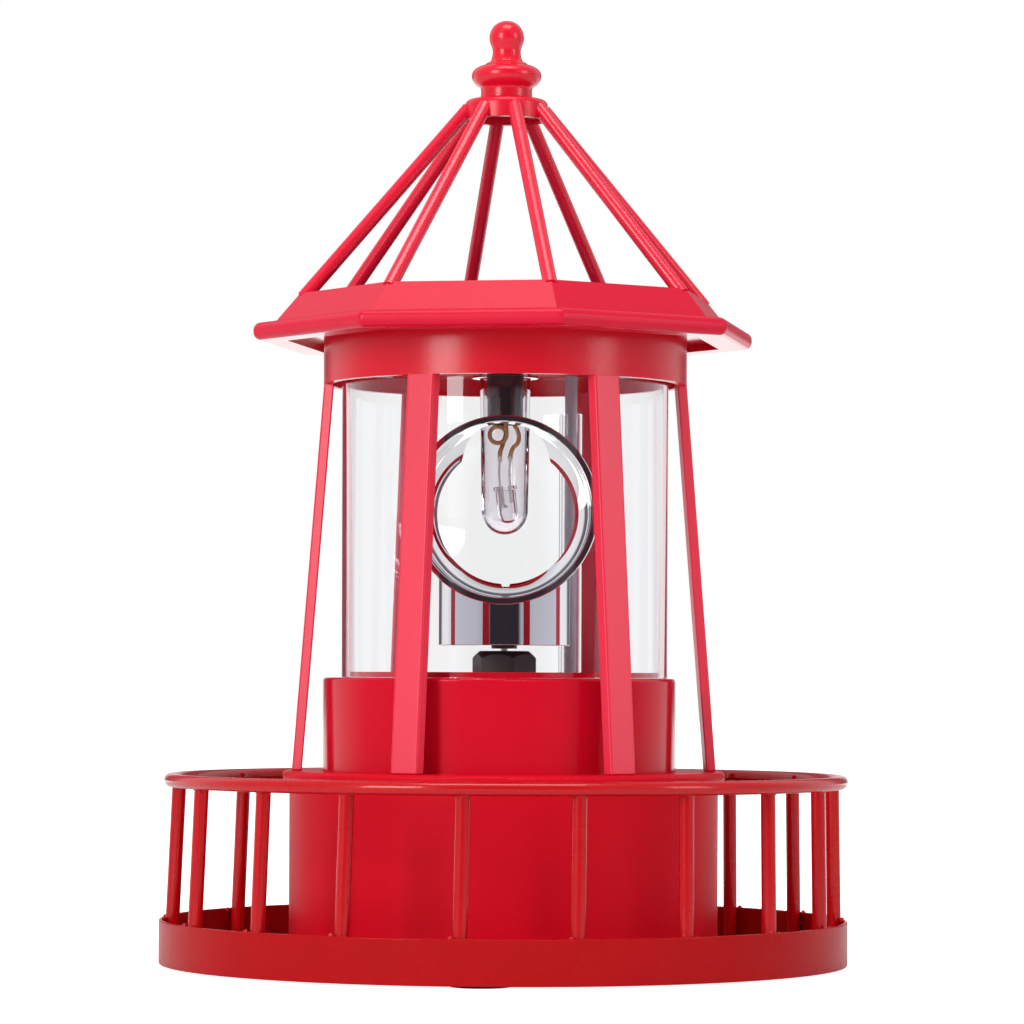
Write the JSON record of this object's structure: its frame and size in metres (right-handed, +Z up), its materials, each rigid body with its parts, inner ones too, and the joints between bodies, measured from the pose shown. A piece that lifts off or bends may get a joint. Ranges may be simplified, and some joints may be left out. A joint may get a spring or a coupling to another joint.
{
  "type": "garden lighthouse lamp",
  "caption": "Lighthouse-shaped garden lamp: railed gallery, clear lantern with a chromed reflector turned by a geared motor, open octagonal roof cage with a panel and a finial.",
  "frame": {"origin": "on the ground under the middle of the round gallery", "axes": "+Z up along the lantern's axis, -Y towards the front side seen in the picture, +X to its right"},
  "size_m": [0.1704, 0.1704, 0.2342],
  "materials": {
    "red_plastic": "fine spark texture, satin",
    "red_gloss_plastic": "smooth gloss",
    "red_paint": "gloss paint, slightly more orange than the plastic",
    "clear_glass": "clear",
    "clear_plastic": "clear, smooth",
    "black_plastic": "satin",
    "black_rubber": "matte",
    "chrome": "plated, mirror smooth",
    "shaft_steel": "ground",
    "motor_steel": "nickel plated",
    "screw_steel": "zinc plated",
    "lead_metal": "tinned",
    "contact_metal": "nickel plated",
    "brass": "machined",
    "white_nylon": "moulded, satin",
    "magnet": "sintered, matte",
    "brown_insulation": "satin",
    "grey_cable": "satin",
    "red_insulation": "satin",
    "battery_wrap": "shrink film",
    "board_green": "solder mask",
    "dark_panel": "smooth resin"
  },
  "bodies": {
    "lantern": {"feet": "black_rubber", "floor_plate": "red_paint", "fascia_hoop": "red_paint", "bars_front": "red_paint", "bars_right": "red_paint", "bars_back": "red_paint", "bars_left": "red_paint", "hand_rail": "red_paint", "lantern_base": "red_plastic", "bottom_cover": "black_plastic", "cover_screws": "screw_steel", "motor_housing": "red_gloss_plastic", "housing_screws": "screw_steel", "window_posts": "red_plastic", "cap_ring": "red_plastic", "lantern_glass": "clear_glass", "roof_skirt": "red_plastic", "roof_soffit": "red_plastic", "roof_rafters": "red_plastic", "roof_hub": "red_plastic", "finial": "red_plastic", "finial_screw": "screw_steel", "panel_tray": "black_plastic", "solar_panel": "dark_panel", "lamp_deck": "red_plastic", "roof_screws": "screw_steel", "lamp_socket": "black_plastic", "lamp_sleeve": "clear_plastic", "led": "clear_plastic", "led_leads": "lead_metal", "lamp_wires": "brown_insulation", "cable_tube": "clear_plastic", "riser_cable": "grey_cable", "movement_case": "black_plastic", "movement_cover": "black_plastic", "movement_nut": "black_plastic", "gear_arbors": "shaft_steel", "motor_cap": "white_nylon", "motor_can": "motor_steel", "motor_magnets": "magnet", "battery": "battery_wrap", "battery_holder": "black_plastic", "contact_plate": "contact_metal", "contact_spring": "contact_metal", "circuit_board": "board_green", "board_parts": "black_plastic", "switch_body": "lead_metal", "battery_wires": "red_insulation", "motor_wires": "red_insulation", "panel_wires": "red_insulation"},
    "reflector_unit": {"output_shaft": "shaft_steel", "output_gear": "white_nylon", "reflector": "chrome", "reflector_hub": "black_plastic"},
    "second_gear_unit": {"second_gear": "white_nylon"},
    "first_gear_unit": {"first_gear": "white_nylon"},
    "motor_unit": {"motor_rotor": "motor_steel", "motor_pinion": "brass"},
    "switch_slider_unit": {"switch_slider": "black_plastic"}
  },
  "joints": [
    {"name": "reflector_spin", "type": "hinge", "parent": "lantern", "child": "reflector_unit", "pos_m": [0, 0, 0.0602], "axis": [0, 0, 1], "continuous": true},
    {"name": "second_gear_spin", "type": "hinge", "parent": "lantern", "child": "second_gear_unit", "pos_m": [0, 0.0112, 0.0602], "axis": [0, 0, 1], "continuous": true},
    {"name": "first_gear_spin", "type": "hinge", "parent": "lantern", "child": "first_gear_unit", "pos_m": [0.01052, 0.01503, 0.0602], "axis": [0, 0, 1], "continuous": true},
    {"name": "motor_spin", "type": "hinge", "parent": "lantern", "child": "motor_unit", "pos_m": [0.01772, 0.00645, 0.0602], "axis": [0, 0, 1], "continuous": true},
    {"name": "switch_slide", "type": "slide", "parent": "lantern", "child": "switch_slider_unit", "axis": [1, 0, 0], "range_m": [0, 0.002]}
  ],
  "couplings": [
    {"joint": "second_gear_spin", "follows": "reflector_spin", "ratio": -3},
    {"joint": "first_gear_spin", "follows": "reflector_spin", "ratio": 9},
    {"joint": "motor_spin", "follows": "reflector_spin", "ratio": -27}
  ]
}
